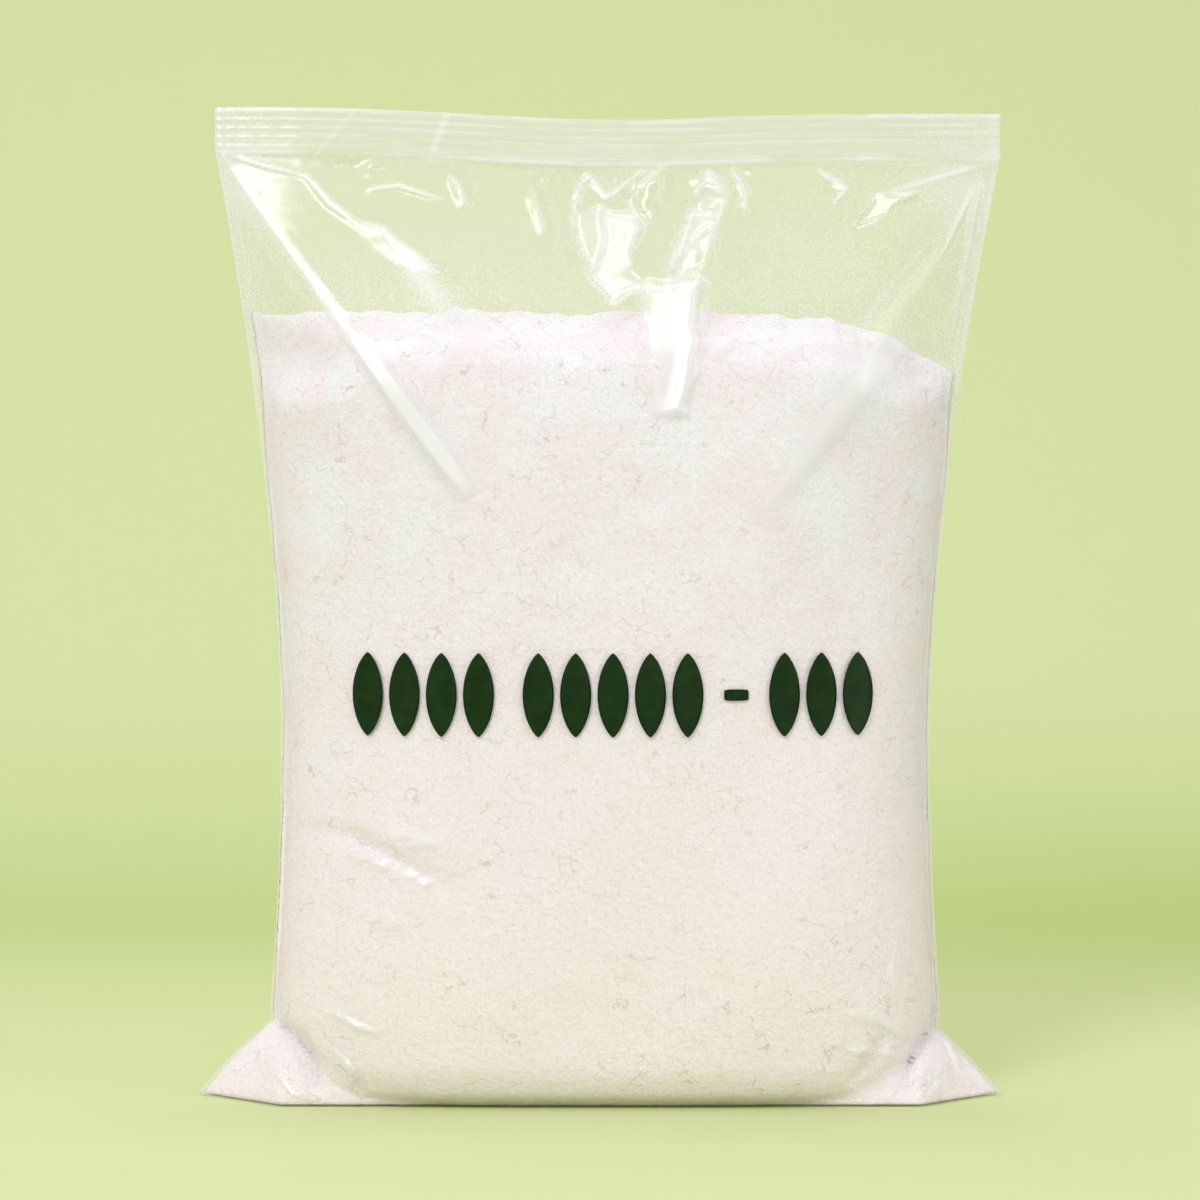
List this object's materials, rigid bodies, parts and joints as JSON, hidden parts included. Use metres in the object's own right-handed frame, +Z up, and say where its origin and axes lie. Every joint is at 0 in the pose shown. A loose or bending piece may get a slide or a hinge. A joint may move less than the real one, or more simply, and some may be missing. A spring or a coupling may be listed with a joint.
{
  "type": "bag of flour",
  "caption": "Clear film bag filled with pale flour, standing upright on a flattened base, with a ribbed top weld, an empty film head and a pinched ear at each lower corner.",
  "frame": {"origin": "on the floor, under the middle of the bag's bounding box", "axes": "+Z up along the bag's height, X across its width, -Y towards the printed front"},
  "size_m": [0.202, 0.0635, 0.247],
  "materials": {
    "film": "clear glossy film, shown here in the colour of the flour behind it",
    "flour": "matt packed flour",
    "print": "dark green ink"
  },
  "bodies": {
    "root": {"bag": "film"}
  },
  "joints": []
}
